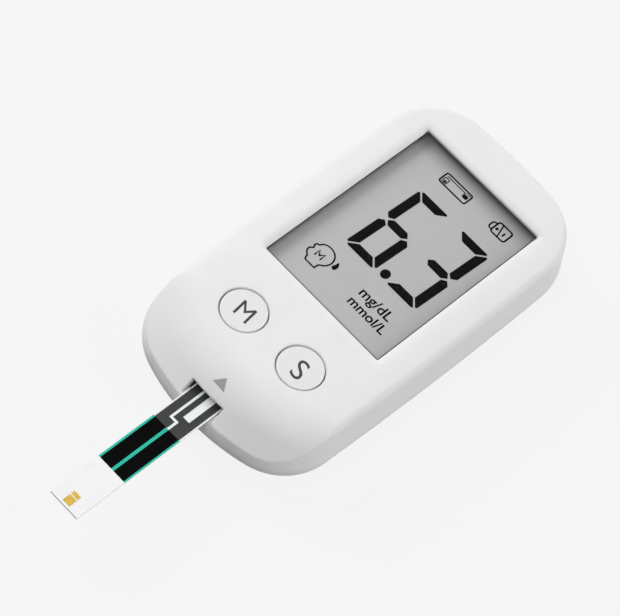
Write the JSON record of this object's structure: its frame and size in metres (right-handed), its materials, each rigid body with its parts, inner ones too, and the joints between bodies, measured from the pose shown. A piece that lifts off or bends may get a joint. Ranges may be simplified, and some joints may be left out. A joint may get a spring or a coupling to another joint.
{
  "type": "blood glucose meter",
  "caption": "Slim handheld blood glucose meter with a large recessed display, round keys, a coin-cell door and a test strip in its port.",
  "frame": {"origin": "centre of the flat rear face", "axes": "+Z out of the front face, +Y towards the display end, +X to the right of someone reading the display"},
  "size_m": [0.0468, 0.1231, 0.0147],
  "materials": {
    "housing": "satin-gloss white moulded plastic",
    "key_plastic": "satin-gloss white moulded plastic",
    "lens": "clear polished window",
    "gasket": "black adhesive film",
    "lcd_film": "grey polarising film",
    "lcd_glass": "thin display glass",
    "holder_plastic": "matte white moulded plastic",
    "silicone": "soft layered silicone",
    "board": "green solder mask over fibreglass",
    "chip_plastic": "black moulded chip bodies",
    "ceramic_part": "small ceramic capacitors",
    "bright_metal": "nickel plated",
    "steel": "plated steel",
    "dark_plastic": "black moulded plastic",
    "spring_metal": "gold plated spring metal",
    "strip_white": "white plastic carrier",
    "carbon": "printed carbon tracks",
    "strip_teal": "teal insulating film",
    "strip_clear": "milky clear cover film",
    "gold": "gold electrode",
    "label_film": "blank silver-grey label"
  },
  "bodies": {
    "meter": {"front_housing": "housing", "rear_housing": "housing", "rating_label": "label_film", "housing_screws": "steel", "display_window": "lens", "window_gasket": "gasket", "lcd_holder": "holder_plastic", "zebra_connector": "silicone", "main_board": "board", "board_screws": "steel", "microcontroller": "chip_plastic", "measuring_chip": "chip_plastic", "memory_chip": "chip_plastic", "capacitors": "ceramic_part", "crystal": "bright_metal", "buzzer": "dark_plastic", "switch_m": "dark_plastic", "switch_s": "dark_plastic", "coin_cell": "bright_metal", "battery_contact_negative": "spring_metal", "battery_contact_positive": "spring_metal", "strip_connector": "dark_plastic", "strip_springs": "spring_metal", "lcd_polariser": "lcd_film", "lcd_front_glass": "lcd_glass", "lcd_rear_glass": "lcd_glass", "lcd_reflector": "lcd_film"},
    "key_m": {"key_m": "key_plastic", "switch_plunger_m": "dark_plastic"},
    "key_s": {"key_s": "key_plastic", "switch_plunger_s": "dark_plastic"},
    "battery_door": {"battery_door": "housing"},
    "test_strip": {"strip_base": "strip_white", "strip_tracks": "carbon", "strip_film": "strip_teal", "strip_cover": "strip_clear", "strip_pads": "gold"}
  },
  "joints": [
    {"name": "key_m_press", "type": "slide", "parent": "meter", "child": "key_m", "axis": [0, 0, -1], "range_m": [0, 0.00035], "stiffness_N_per_m": 800},
    {"name": "key_s_press", "type": "slide", "parent": "meter", "child": "key_s", "axis": [0, 0, -1], "range_m": [0, 0.00035], "stiffness_N_per_m": 800},
    {"name": "battery_door_slide", "type": "slide", "parent": "meter", "child": "battery_door", "axis": [0, 1, 0], "range_m": [0, 0.036]},
    {"name": "strip_slide", "type": "slide", "parent": "meter", "child": "test_strip", "axis": [0, -1, 0], "range_m": [0, 0.014]}
  ]
}
